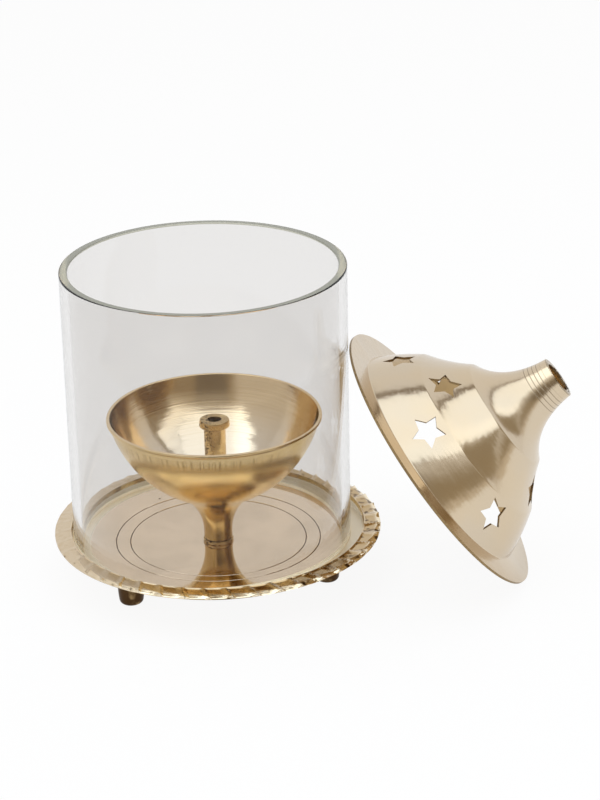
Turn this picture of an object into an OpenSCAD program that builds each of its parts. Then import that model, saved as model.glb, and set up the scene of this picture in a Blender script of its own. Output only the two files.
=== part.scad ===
// Akhand diya: a brass oil lamp that burns day and night behind a glass chimney.
// A fluted dish on three feet carries the oil cup and its wick tube. The glass stands
// loose in the dish. The pierced lid is off and leans against the side of the glass.
// Millimetres, +Z up, origin on the table under the middle of the dish.

/* [Glass chimney] */
// Outside diameter of the glass
glass_d = 100; // [80:0.5:130]
// Height of the glass
glass_h = 101.6; // [90:0.1:150]
// Wall of the glass
glass_wall = 3; // [2:0.1:5]
// Ground bevel on the edges of the glass
glass_bevel = 0.6; // [0.2:0.1:0.9]
// Room between the glass and the dish's wall when the glass is centred
glass_play = 2.35; // [0.8:0.05:4]
// Gap left where the glass has been pushed towards the dish's wall
glass_gap = 0.3; // [0.2:0.05:0.6]

/* [Dish] */
// Depth of the dish, from its rim to the middle of its floor
dish_depth = 6.5; // [5:0.1:9]
// Rise of the hollow floor, from its middle to the seat of the glass
dish_rise = 3; // [1:0.1:3.4]
// Radius of the flat in the middle of the floor
hub_r = 7; // [6.5:0.1:12]
// Width of the flat seat that the glass stands on, inside the dish's wall
seat_w = 4.35; // [3:0.05:8]
// Thickness of the dish's floor and wall
dish_t = 1.4; // [1.2:0.1:2.4]
// Outward run of the dish's inner wall over its height
wall_run = 0.45; // [0.2:0.05:2]
// Width of the fluted band round the dish
band_w = 6; // [4:0.1:9]
// Thickness of the fluted band
band_t = 1.1; // [1:0.1:2.2]
// Fall of the fluted band from its inner line to its edge
band_fall = 0.4; // [0:0.1:1]
// Number of flutes round the band
flute_count = 44; // [24:1:60]
// Depth of a flute
flute_depth = 0.55; // [0.3:0.05:0.7]
// Part of the pitch that a flute takes up
flute_share = 0.94; // [0.7:0.01:0.98]
// Radius of the inner engraved ring
ring_1_r = 31.8; // [26:0.1:34]
// Radius of the outer engraved ring
ring_2_r = 36.9; // [35:0.1:44]
// Width of an engraved ring
ring_w = 0.6; // [0.3:0.05:1]
// Depth of an engraved ring
ring_depth = 0.3; // [0.1:0.05:0.5]

/* [Feet] */
// Height of a foot, from the table to its pad under the dish
foot_h = 11.1; // [10:0.1:16]
// Widest diameter of a foot
foot_d = 9.3; // [7:0.1:12]
// Diameter of a foot where it meets the dish
foot_top_d = 8.6; // [6:0.1:9]
// Rounding at the bottom edge of a foot
foot_round = 1.7; // [0.6:0.1:2.4]
// How far the feet's middles stand in from the dish's wall
foot_inset = 11.35; // [6:0.05:20]
// Bearing of the first foot
foot_turn = 222; // [0:1:359]
// Diameter of the pads under the dish that the feet are brazed to
pad_d = 9.6; // [9:0.1:12]
// Least height of a pad
pad_h = 0.15; // [0.1:0.05:1]

/* [Cup] */
// Outside diameter of the bowl under its lip
bowl_d = 75.6; // [60:0.2:84]
// Height of the cup from the stem's foot to the rim
cup_h = 48.5; // [42:0.1:56]
// Radius of the bowl's side in profile
bowl_round = 44.3; // [40:0.1:48]
// Lean of the bowl's wall away from upright at the rim
bowl_lean = 12.6; // [6:0.1:16]
// Wall of the bowl
bowl_wall = 1.5; // [1:0.1:2.5]
// Radius of the flat floor inside the bowl
bowl_floor_r = 7; // [6:0.1:10]
// Overhang of the lip
lip_w = 0.6; // [0.3:0.1:1.2]
// Height of the lip
lip_h = 1.5; // [0.8:0.1:3]
// Diameter of the stem
stem_d = 10.2; // [9:0.1:12]
// Straight length of the stem, under its hollow curve
stem_len = 2.8; // [0.8:0.1:4]
// Bevel round the stem's foot, which reads as a groove over the washer
stem_bevel = 0.4; // [0.2:0.05:0.8]

/* [Wick tube] */
// Bore that the cotton wick is drawn through
wick_bore_d = 5; // [3:0.1:5.4]
// Diameter of the tube under its collar
tube_top_d = 7.8; // [7.6:0.1:9]
// Diameter of the tube where it stands on the bowl's floor
tube_foot_d = 7.5; // [7.2:0.1:9]
// Diameter of the collar
collar_d = 11; // [9.6:0.1:14]
// Height of the collar
collar_h = 2.7; // [1.8:0.1:5]
// Bevel on the collar's edges
collar_bevel = 0.4; // [0.2:0.05:0.8]
// How far the collar's top lies under the cup's rim
collar_drop = 2.4; // [0:0.1:8]
// Diameter of the spigot under the tube
spigot_d = 6.6; // [6.2:0.1:7]
// Length of the spigot
spigot_len = 5.2; // [3:0.1:5.6]
// Diameter of the holes that let oil in to the wick
feed_d = 2.2; // [1.6:0.1:2.4]
// Height of the first pair of oil holes above the bowl's floor
feed_rise = 2.2; // [1.6:0.1:4]
// Step up to the second pair of oil holes
feed_step = 3.4; // [2.8:0.1:6]
// Radial clearance of the spigot in its socket
spigot_gap = 0.06; // [0.02:0.01:0.1]
// Clearance under the spigot
socket_gap = 0.3; // [0.1:0.1:0.6]
// Metal between the spigot's socket and the bolt's hole
socket_floor = 3.8; // [2:0.1:5]

/* [Cup bolt] */
// Diameter of the bolt that holds the cup down
bolt_d = 5; // [4:0.1:5.5]
// Width of the bolt's head across its flats
head_af = 8; // [7:0.1:10]
// Height of the bolt's head
head_h = 3.5; // [2.5:0.1:4.5]
// Radial clearance of the bolt in the stem
bolt_gap = 0.05; // [0.02:0.01:0.1]
// Radial clearance of the bolt in the dish and the washers
pass_gap = 0.25; // [0.15:0.05:0.4]
// Room past the end of the bolt
bolt_room = 0.4; // [0.2:0.1:0.8]
// Diameter of the washer between stem and dish
stem_washer_d = 10.8; // [10:0.1:14]
// Thickness of the washer between stem and dish
stem_washer_t = 1.2; // [0.8:0.1:2]
// Diameter of the washer under the dish
bolt_washer_d = 12; // [10.5:0.1:16]
// Thickness of the washer under the dish
bolt_washer_t = 1; // [0.6:0.1:1.4]

/* [Lid] */
// Diameter of the lid's brim
brim_d = 105.6; // [100:0.2:112]
// Width of the flat brim
brim_w = 9.9; // [7:0.1:12]
// Thickness of the lid's sheet
sheet_t = 0.9; // [0.6:0.1:1.2]
// Radius at the top of the lower tier
tier_1_r = 33.9; // [32:0.1:36]
// Height of the lower tier
tier_1_h = 15.3; // [13:0.1:18]
// Swell of the lower tier
tier_1_bow = 0.45; // [-0.5:0.05:1]
// Radius at the top of the upper tier
tier_2_r = 21; // [19.5:0.1:23]
// Height of the upper tier
tier_2_h = 12.7; // [11.6:0.1:15]
// Swell of the upper tier, hollow when negative
tier_2_bow = -0.65; // [-1:0.05:0.5]
// Height of the neck
neck_h = 22.9; // [18:0.1:28]
// Swell of the neck, hollow when negative
neck_bow = -3.6; // [-4.2:0.1:-2]
// Where along the neck its curve is strongest
neck_bend = 0.42; // [0.35:0.01:0.55]
// Outside diameter of the open tip
tip_d = 15.4; // [13:0.1:18]
// Diameter of the smoke hole
tip_hole_d = 11; // [8:0.1:11.6]

/* [Stars] */
// Number of stars round the lower tier
star_1_count = 6; // [4:1:7]
// Bearing of the first lower star, from the brim's lowest point
star_1_turn = 175; // [0:1:359]
// Bearings of the stars round the upper tier, spaced by eye
star_2_turns = [92, 205, 339]; // [0:1:359]
// Number of points on a star
star_points = 5; // [4:1:6]
// Radius of a star's points
star_r = 6.3; // [4:0.1:6.6]
// Radius of a star's inner corners, as a part of its points' radius
star_waist = 0.53; // [0.4:0.01:0.65]
// Where a lower star's middle lies up its tier
star_1_place = 0.63; // [0.42:0.01:0.68]
// Where an upper star's middle lies up its tier
star_2_place = 0.42; // [0.3:0.01:0.6]

/* [Leaning lid] */
// Tilt of the lid's axis away from upright
lean = 53.4; // [48:0.1:60]
// Bearing at which the lid leans on the glass
lean_turn = -2.4; // [-20:0.1:20]
// Gap between the brim and the glass
lean_gap = 0.3; // [0.1:0.05:0.6]

/* [Hidden] */
$fn = 96;
brass = "#cdb07a";
old_brass = "#7a5528";
clear_glass = "#dfe6e280";
steps = 14;
cut = 0.01;
halfway = 0.5;
foot_step = 120;
head_sides = 6;

// The dish's radii follow the glass that stands in it
glass_r = glass_d / 2;
wall_r = glass_r + glass_play;
band_r = wall_r + wall_run;
edge_r = band_r + band_w;
seat_r = wall_r - seat_w;
foot_circle_r = wall_r - foot_inset;
glass_x = glass_gap - glass_play;

// Heights above the table
under_z = foot_h + pad_h - dip(foot_circle_r - pad_d / 2);
floor_z = under_z + dish_t;
seat_z = floor_z + dish_rise;
rim_z = floor_z + dish_depth;
stem_z = floor_z + stem_washer_t;
cup_rim_z = stem_z + cup_h;
collar_z = cup_rim_z - collar_drop;

// The dish's floor, from its flat middle up to the seat of the glass
floor_line = concat([[0, floor_z]],
                    [for (i = [0 : steps]) let (r = hub_r + (seat_r - hub_r) * i / steps) [r, floor_z + dip(r)]],
                    [[wall_r, seat_z]]);

// A flute is a round groove, as wide as its share of the pitch
flute_w = 2 * PI * (band_r + band_w / 2) / flute_count * flute_share;
flute_r = (pow(flute_w / 2, 2) + pow(flute_depth, 2)) / (2 * flute_depth);

// The bowl's side is an arc, and the stem's hollow curve runs into it without a corner
stem_r = stem_d / 2;
bowl_r = bowl_d / 2;
bowl_c = [bowl_r - bowl_round * cos(bowl_lean), cup_rim_z + bowl_round * sin(bowl_lean)];
stem_top = [stem_r, stem_z + stem_len] - bowl_c;
stem_fillet = (stem_top * stem_top - pow(bowl_round, 2)) / (2 * (bowl_round - stem_top.x));
fillet_c = [stem_r + stem_fillet, stem_z + stem_len];
meet_turn = atan2(fillet_c.y - bowl_c.y, fillet_c.x - bowl_c.x);
inner_round = bowl_round - bowl_wall;
inner_lean = asin((bowl_c.y - cup_rim_z) / inner_round);
bowl_floor_z = bowl_c.y - sqrt(pow(inner_round, 2) - pow(bowl_floor_r - bowl_c.x, 2));
bowl_floor_turn = atan2(bowl_floor_z - bowl_c.y, bowl_floor_r - bowl_c.x);
socket_z = bowl_floor_z - spigot_len - socket_gap;
bolt_hole_h = socket_z - socket_floor - stem_z;

// The lid's outer line, from the brim to the tip, over the table side of its brim
brim_r = brim_d / 2;
tier_0_r = brim_r - brim_w;
brim_top = [tier_0_r, sheet_t];
tier_1_top = [tier_1_r, sheet_t + tier_1_h];
tier_2_top = [tier_2_r, tier_1_top.y + tier_2_h];
tip_top = [tip_d / 2, tier_2_top.y + neck_h];
lid_line = concat([[brim_r, sheet_t]], bow(brim_top, tier_1_top, tier_1_bow, halfway),
                  bow(tier_1_top, tier_2_top, tier_2_bow, halfway, 1),
                  bow(tier_2_top, tip_top, neck_bow, neck_bend, 1));
lean_x = glass_r + lean_gap + brim_r * cos(lean);
lean_z = brim_r * sin(lean);

// Rise of the dish's hollow floor over its middle
function dip(r) = dish_rise * pow(max(r - hub_r, 0) / (seat_r - hub_r), 2);

// Points of an arc round c, from one bearing to another
function arc(c, r, from, to) =
    [for (i = [0 : steps]) let (a = from + (to - from) * i / steps) c + r * [cos(a), sin(a)]];

// Points of a curve from p to q that swells to the right of its chord, strongest at bend
function bow(p, q, swell, bend, first = 0) =
    let (d = (q - p) / norm(q - p), m = p + (q - p) * bend + 2 * swell * [d.y, -d.x])
    [for (i = [first : steps]) let (t = i / steps)
        pow(1 - t, 2) * p + 2 * t * (1 - t) * m + pow(t, 2) * q];

// Left-hand normal of the stretch of a line that starts at point i
function side(line, i) =
    let (k = min(max(i, 0), len(line) - 2), d = line[k + 1] - line[k])
    [-d.y, d.x] / norm(d);

// The same line moved t to its left, with mitred corners
function inset(line, t) =
    [for (i = [0 : len(line) - 1]) let (a = side(line, i - 1), b = side(line, i))
        line[i] + t * (a + b) / (1 + a * b)];

function reversed(line) = [for (i = [len(line) - 1 : -1 : 0]) line[i]];

// Puts children where the glass stands, pushed over by the lid
module at_glass() {
    translate([glass_x, 0, 0])
        children();
}

// Puts children, drawn upright on the brim, where the lid leans
module at_lean() {
    at_glass()
        rotate([0, 0, lean_turn])
        translate([lean_x, 0, lean_z])
        rotate([0, lean, 0])
        children();
}

module flutes() {
    for (i = [0 : flute_count - 1])
        rotate([0, 0, i * 360 / flute_count])
        translate([band_r, 0, rim_z - flute_depth + flute_r])
        rotate([0, 90 + atan(band_fall / band_w), 0])
        cylinder(r = flute_r, h = 2 * band_w);
}

module engraved_ring(r) {
    rotate_extrude()
        translate([r, floor_z + dip(r)])
        polygon([[-ring_w, ring_depth], [0, -ring_depth], [ring_w, ring_depth]]);
}

module bolt_hole(z, t) {
    translate([0, 0, z - cut])
        cylinder(r = bolt_d / 2 + pass_gap, h = t + 2 * cut);
}

// The flat pads under the hollow floor, one for each foot
module pads() {
    intersection() {
        rotate_extrude()
            polygon(concat([[0, 0]], floor_line, [[wall_r, 0]]));
        for (i = [0 : 2])
            rotate([0, 0, foot_turn + foot_step * i])
            translate([foot_circle_r, 0, foot_h])
            cylinder(d = pad_d, h = rim_z - foot_h);
    }
}

module base_plate() {
    under_line = [for (p = floor_line) p - [0, dish_t]];
    color(brass)
    difference() {
        union() {
            rotate_extrude()
                polygon(concat(under_line,
                               [[wall_r + dish_t, seat_z], [band_r + dish_t, rim_z - band_t],
                                [edge_r, rim_z - band_fall - band_t], [edge_r, rim_z - band_fall],
                                [band_r, rim_z]],
                               reversed(floor_line)));
            pads();
        }
        flutes();
        engraved_ring(ring_1_r);
        engraved_ring(ring_2_r);
        bolt_hole(under_z, dish_t);
    }
}

// A turned knob, brazed to its pad
module foot(i) {
    top_r = foot_top_d / 2;
    swell = foot_d / 2 - top_r;
    color(old_brass)
    rotate([0, 0, foot_turn + foot_step * i])
        translate([foot_circle_r, 0, 0])
        rotate_extrude()
        polygon(concat([[0, 0]],
                       arc([top_r - foot_round, foot_round], foot_round, -90, 0),
                       bow([top_r, foot_round], [top_r, foot_h], swell, halfway, 1),
                       [[0, foot_h]]));
}

module cup() {
    color(brass)
    difference() {
        rotate_extrude()
            polygon(concat([[0, stem_z], [stem_r - stem_bevel, stem_z], [stem_r, stem_z + stem_bevel]],
                           arc(fillet_c, stem_fillet, 180, meet_turn + 180),
                           arc(bowl_c, bowl_round, meet_turn, -bowl_lean - lip_h / bowl_round * 180 / PI),
                           [[bowl_r + lip_w, cup_rim_z - lip_h / 2], [bowl_r + lip_w, cup_rim_z - lip_w / 2],
                            [bowl_r + lip_w / 2, cup_rim_z]],
                           arc(bowl_c, inner_round, -inner_lean, bowl_floor_turn),
                           [[0, bowl_floor_z]]));
        translate([0, 0, socket_z])
            cylinder(r = spigot_d / 2 + spigot_gap, h = spigot_len + socket_gap + cut);
        translate([0, 0, stem_z - cut])
            cylinder(r = bolt_d / 2 + bolt_gap, h = bolt_hole_h + cut);
    }
}

module stem_washer() {
    color(brass)
    difference() {
        translate([0, 0, floor_z])
            cylinder(d = stem_washer_d, h = stem_washer_t);
        bolt_hole(floor_z, stem_washer_t);
    }
}

module wick_tube() {
    tube_h = collar_z - collar_h - bowl_floor_z;
    color(brass)
    difference() {
        union() {
            translate([0, 0, bowl_floor_z - spigot_len])
                cylinder(d = spigot_d, h = spigot_len + cut);
            translate([0, 0, bowl_floor_z])
                cylinder(d1 = tube_foot_d, d2 = tube_top_d, h = tube_h + cut);
            translate([0, 0, collar_z - collar_h])
                rotate_extrude()
                polygon([[0, 0], [collar_d / 2 - collar_bevel, 0], [collar_d / 2, collar_bevel],
                         [collar_d / 2 - collar_bevel / 2, collar_h - collar_bevel],
                         [collar_d / 2 - collar_bevel, collar_h], [0, collar_h]]);
        }
        translate([0, 0, bowl_floor_z - spigot_len - cut])
            cylinder(d = wick_bore_d, h = collar_z - bowl_floor_z + spigot_len + 2 * cut);
        for (i = [0, 1])
            translate([0, 0, bowl_floor_z + feed_rise + feed_step * i])
            rotate([0, 90, 90 * i])
            cylinder(d = feed_d, h = collar_d, center = true);
    }
}

module cup_bolt() {
    head_z = under_z - bolt_washer_t;
    color(old_brass)
    union() {
        translate([0, 0, head_z - head_h])
            cylinder(d = head_af / cos(180 / head_sides), h = head_h, $fn = head_sides);
        translate([0, 0, head_z - cut])
            cylinder(d = bolt_d, h = stem_z + bolt_hole_h - bolt_room - head_z + cut);
    }
}

module bolt_washer() {
    color(old_brass)
    difference() {
        translate([0, 0, under_z - bolt_washer_t])
            cylinder(d = bolt_washer_d, h = bolt_washer_t);
        bolt_hole(under_z - bolt_washer_t, bolt_washer_t);
    }
}

module glass_chimney() {
    in_r = glass_r - glass_wall;
    color(clear_glass)
    at_glass()
        translate([0, 0, seat_z])
        rotate_extrude()
        polygon([[in_r + glass_bevel, 0], [glass_r - glass_bevel, 0], [glass_r, glass_bevel],
                 [glass_r, glass_h - glass_bevel], [glass_r - glass_bevel, glass_h],
                 [in_r + glass_bevel, glass_h], [in_r, glass_h - glass_bevel], [in_r, glass_bevel]]);
}

// A five-pointed punch square to the wall between two points of the lid's line
module star_punch(foot, top, place, bearing, tip) {
    at = foot + (top - foot) * place;
    slope = atan2(top.y - foot.y, foot.x - top.x);
    rotate([0, 0, bearing])
        translate([at.x, 0, at.y])
        rotate([0, slope, 0])
        rotate([0, 0, tip])
        linear_extrude(height = 2 * star_r, center = true)
        polygon([for (i = [0 : 2 * star_points - 1]) let (a = 180 / star_points * i)
            star_r * (i % 2 == 0 ? 1 : star_waist) * [cos(a), sin(a)]]);
}

// Spun sheet, open at the brim, with its tip turned in round the smoke hole
module lid() {
    inner = inset(lid_line, sheet_t);
    last = inner[len(inner) - 1];
    color(brass)
    at_lean()
    difference() {
        rotate_extrude()
            polygon(concat(lid_line, [[tip_hole_d / 2, tip_top.y], [tip_hole_d / 2, tip_top.y - sheet_t],
                                      [last.x, tip_top.y - sheet_t]],
                           [for (p = reversed(inner)) if (p.y < tip_top.y - sheet_t) p]));
        for (i = [0 : star_1_count - 1])
            star_punch(brim_top, tier_1_top, star_1_place, star_1_turn + i * 360 / star_1_count, 0);
        for (turn = star_2_turns)
            star_punch(tier_1_top, tier_2_top, star_2_place, turn, 180);
    }
}

base_plate();
foot(0);  // foot_1
foot(1);  // foot_2
foot(2);  // foot_3
cup();
stem_washer();
wick_tube();
cup_bolt();
bolt_washer();
glass_chimney();
lid();
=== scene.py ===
"""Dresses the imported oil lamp: spun, turned and cast brass, and a clear glass chimney."""
import math

import bmesh
import bpy
import numpy as np
from bpy.props import FloatProperty, FloatVectorProperty, IntProperty, PointerProperty
from mathutils import Matrix, Vector


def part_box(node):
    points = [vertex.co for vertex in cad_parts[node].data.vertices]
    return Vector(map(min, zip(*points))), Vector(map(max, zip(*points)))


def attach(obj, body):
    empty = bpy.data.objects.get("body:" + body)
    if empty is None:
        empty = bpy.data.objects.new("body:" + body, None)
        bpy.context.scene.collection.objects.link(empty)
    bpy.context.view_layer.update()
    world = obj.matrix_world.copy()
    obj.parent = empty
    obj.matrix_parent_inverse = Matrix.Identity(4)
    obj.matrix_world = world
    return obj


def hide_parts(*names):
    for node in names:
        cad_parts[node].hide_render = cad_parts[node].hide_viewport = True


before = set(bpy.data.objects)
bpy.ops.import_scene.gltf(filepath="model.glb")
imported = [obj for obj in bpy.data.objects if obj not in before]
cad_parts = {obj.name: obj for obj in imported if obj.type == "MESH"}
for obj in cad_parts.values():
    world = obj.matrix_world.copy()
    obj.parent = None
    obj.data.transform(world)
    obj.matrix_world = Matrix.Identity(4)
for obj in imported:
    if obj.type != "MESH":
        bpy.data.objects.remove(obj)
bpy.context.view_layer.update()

bl_info = {
    "name": "Akhand Diya",
    "version": (1, 0, 0),
    "blender": (4, 5, 0),
    "location": "View3D > Sidebar > Lamp",
    "description": "Builds a brass oil lamp with a glass chimney and a pierced lid",
    "category": "Add Mesh",
}

MM = 0.001
MICRON = 0.000001
TINY = 1e-9
GUARD = 1.6  # distance of a guard point from its corner, in reaches of the corner's rounding
FLOOR_STEPS, BAND_STEPS, BOWL_STEPS = 48, 24, 60  # steps of long lines in profile
FLUTE_COLUMNS = 18  # columns of the dish's mesh in one flute
SCATTER = (12.9898, 43758.5453)  # no pattern shows in the fractions that these give
GLASS_IOR = 1.47
MIX_SHARE, MIX_FIRST, MIX_SECOND, MIX_RESULT = 0, 6, 7, 2  # sockets of a Mix node that mixes colours
WHITE = (1.0, 1.0, 1.0)
LEVEL = 0.03  # least height or distance that a slope in the surroundings divides by

DISH_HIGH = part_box("base_plate")[1]
CUP_LOW, CUP_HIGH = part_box("cup")
TUBE_LOW, TUBE_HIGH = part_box("wick_tube")
WASHER_LOW, WASHER_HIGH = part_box("stem_washer")
GLASS_LOW, GLASS_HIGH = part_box("glass_chimney")
FEET = ("foot_1", "foot_2", "foot_3")
FOOT_LOW, FOOT_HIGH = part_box(FEET[0])


def length(name, description, default):
    """A size in metres that a user may change."""
    return FloatProperty(name=name, description=description, default=default, unit="LENGTH", precision=5)


def mm(name, description, default):
    """A size that a user may change, given here in millimetres."""
    return length(name, description, default * MM)


def angle(name, description, default):
    """An angle that a user may change, given here in degrees."""
    return FloatProperty(name=name, description=description, default=math.radians(default), subtype="ANGLE")


def share(name, description, default):
    """A part of a whole that a user may change."""
    return FloatProperty(name=name, description=description, default=default, subtype="FACTOR")


def count(name, description, default):
    """A number of like features that a user may change."""
    return IntProperty(name=name, description=description, default=default, min=1)


def colour(name, description, default, top=1.0):
    """A linear colour that a user may change."""
    return FloatVectorProperty(name=name, description=description, default=default, subtype="COLOR",
                               min=0, max=top)


def spot(name, description, default):
    """A place in metres that a user may change."""
    return FloatVectorProperty(name=name, description=description, default=default, unit="LENGTH",
                               subtype="TRANSLATION", precision=5)


class DishSizes(bpy.types.PropertyGroup):
    """Sizes of the dish."""
    floor: length("Floor", "Height of the middle of the dish's floor above the table", WASHER_LOW.z)
    rise: mm("Floor rise", "Rise of the hollow floor from its middle to the glass's seat", 3)
    hub_r: mm("Hub radius", "Radius of the flat middle of the floor", 7)
    seat_r: mm("Seat radius", "Radius where the flat seat of the glass starts", 48)
    bolt_r: mm("Bolt hole radius", "Radius of the bolt's hole in the floor", 2.75)
    pad_r: mm("Pad radius", "Radius of the pads that the feet are brazed to", 4.8)
    wall_r: mm("Wall radius", "Radius of the floor, out to the dish's wall", 52.35)
    band_r: mm("Band radius", "Radius where the fluted band starts", 52.8)
    sheet: mm("Thickness", "Thickness of the floor and the wall", 1.4)
    band_t: mm("Band thickness", "Thickness of the fluted band", 1.1)
    fall: mm("Band fall", "Fall of the band from its inner line to its edge", 0.4)
    edge_round: mm("Edge rounding", "Width of the round-over at the band's edge", 0.6)
    edge_drop: mm("Edge drop", "Drop of the round-over at the band's edge", 0.3)
    flutes: count("Flutes", "Number of flutes round the band", 44)
    flute_depth: mm("Flute depth", "Depth of the deepest flutes", 0.7)
    slant: share("Flute slant", "How far a flute leans along the band, in flutes", 0.3)
    facet: mm("Outer facet", "How far a flute's outer facet falls to the band's edge", 0.72)
    scallop: mm("Scallop", "How far a flute bites into the band's edge", 0.3)
    flank_1: share("Steep flank", "Share of a flute's width that its steep side takes", 0.14)
    flank_2: share("Gentle flank", "Share of a flute's width that its gentle side takes", 0.3)
    bend: share("Flute bend", "Where across the band a flute's inner facet ends", 0.7)
    worn_turn: angle("Worn bearing", "Bearing at which the flutes are worn shallowest", 170)
    worn_depth: share("Worn depth", "Share of the depth that is left there", 0.2)
    worn_facet: share("Worn facet", "Share of the outer facet that is left there", 0.12)
    ring_1: mm("Inner ring", "Radius of the inner engraved ring", 31.8)
    ring_2: mm("Outer ring", "Radius of the outer engraved ring", 36.9)
    ring_w: mm("Ring width", "Width of an engraved ring", 0.5)
    ring_depth: mm("Ring depth", "Depth of an engraved ring", 0.22)
    corner: mm("Corner rounding", "Rounding of the dish's other corners", 0.2)


class FootSizes(bpy.types.PropertyGroup):
    """Sizes of a foot."""
    top_r: mm("Top radius", "Radius where a foot meets the dish", 4.3)
    bottom_round: mm("Bottom rounding", "Rounding at the bottom edge of a foot", 1.7)
    corner: mm("Corner rounding", "Rounding at the top edge of a foot", 0.1)


class CupSizes(bpy.types.PropertyGroup):
    """Sizes of the oil cup."""
    rim: length("Rim", "Height of the cup's rim above the table", CUP_HIGH.z)
    bowl_r: mm("Bowl radius", "Outside radius of the bowl under its lip", 37.8)
    bowl_round: mm("Bowl curve", "Radius of the bowl's side in profile", 44.3)
    bowl_lean: angle("Bowl lean", "Lean of the bowl's wall at the rim", 12.6)
    wall: mm("Wall", "Thickness of the bowl at its floor", 1.5)
    rim_wall: mm("Rim wall", "Thickness of the bowl under its lip", 0.6)
    floor_r: mm("Floor radius", "Radius of the flat floor inside the bowl", 7)
    lip_w: mm("Lip overhang", "Overhang of the lip", 0.6)
    lip_h: mm("Lip height", "Height of the lip", 1.5)
    stem_r: mm("Stem radius", "Radius of the stem", 5.1)
    stem_len: mm("Stem length", "Straight length of the stem", 2.8)
    stem_bevel: mm("Stem bevel", "Bevel round the stem's foot", 0.4)
    socket_r: mm("Socket radius", "Radius of the wick tube's socket", 3.36)
    socket_gap: mm("Socket gap", "Room under the wick tube in its socket", 0.3)
    corner: mm("Corner rounding", "Rounding of the cup's corners", 0.2)
    washer_corner: mm("Washer rounding", "Rounding of the washer under the stem", 0.3)


class TubeSizes(bpy.types.PropertyGroup):
    """Sizes of the wick tube."""
    bore_r: mm("Bore radius", "Radius of the wick's bore", 2.5)
    top_r: mm("Top radius", "Radius of the tube under its collar", 3.9)
    foot_r: mm("Foot radius", "Radius of the tube at the bowl's floor", 3.75)
    spigot_r: mm("Spigot radius", "Radius of the spigot in the socket", 3.3)
    spigot_len: mm("Spigot length", "Length of the spigot", 5.2)
    collar_h: mm("Collar height", "Height of the collar", 2.7)
    bevel: mm("Collar bevel", "Bevel on the collar's edges", 0.4)
    feed_r: mm("Oil hole radius", "Radius of the oil holes", 1.1)
    feed_rise: mm("Oil hole rise", "Height of the first oil holes over the bowl's floor", 2.2)
    feed_step: mm("Oil hole step", "Step up to the second oil holes", 3.4)
    corner: mm("Corner rounding", "Rounding of the tube's corners", 0.15)


class GlassSizes(bpy.types.PropertyGroup):
    """Sizes of the glass chimney."""
    wall: mm("Wall", "Thickness of the glass", 3)
    edge: mm("Edge", "Rounding of the ground rims", 0.55)


class LidSizes(bpy.types.PropertyGroup):
    """Sizes of the lid, measured upright on its brim, and its lean."""
    brim_r: mm("Brim radius", "Radius of the brim", 52.8)
    brim_w: mm("Brim width", "Width of the flat brim", 9.9)
    sheet: mm("Sheet", "Thickness of the spun sheet", 0.9)
    tier_1_r: mm("Lower tier radius", "Radius at the top of the lower tier", 33.9)
    tier_1_h: mm("Lower tier height", "Height of the lower tier", 15.3)
    tier_1_bow: mm("Lower tier swell", "Swell of the lower tier", 0.45)
    tier_2_r: mm("Upper tier radius", "Radius at the top of the upper tier", 21)
    tier_2_h: mm("Upper tier height", "Height of the upper tier", 12.7)
    tier_2_bow: mm("Upper tier swell", "Swell of the upper tier, hollow when negative", -0.65)
    neck_h: mm("Neck height", "Height of the neck", 22.9)
    neck_bow: mm("Neck swell", "Swell of the neck, hollow when negative", -3.6)
    neck_bend: share("Neck bend", "Where along the neck its curve is strongest", 0.42)
    tip_r: mm("Tip radius", "Outside radius of the open tip", 7.7)
    hole_r: mm("Smoke hole radius", "Radius of the smoke hole", 5.5)
    crease: mm("Crease", "Rounding of the creases between the tiers", 0.35)
    star_r: mm("Star radius", "Radius of a star's points", 6.3)
    star_waist: share("Star waist", "Radius of a star's inner corners against its points", 0.53)
    star_1_count: count("Lower stars", "Number of stars round the lower tier", 6)
    star_1_turn: angle("Lower star bearing", "Bearing of the first lower star", 175)
    star_1_place: share("Lower star place", "Where a lower star lies up its tier", 0.63)
    star_2_turns: FloatVectorProperty(name="Upper star bearings", description="Bearings of the upper stars",
                                      default=[math.radians(a) for a in (92, 205, 339)], subtype="EULER")
    star_2_place: share("Upper star place", "Where an upper star lies up its tier", 0.42)
    lean: angle("Lean", "Tilt of the lid's axis away from upright", 53.4)
    lean_turn: angle("Lean bearing", "Bearing at which the lid leans on the glass", -2.4)
    lean_gap: mm("Lean gap", "Gap between the brim and the glass", 0.3)


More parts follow.
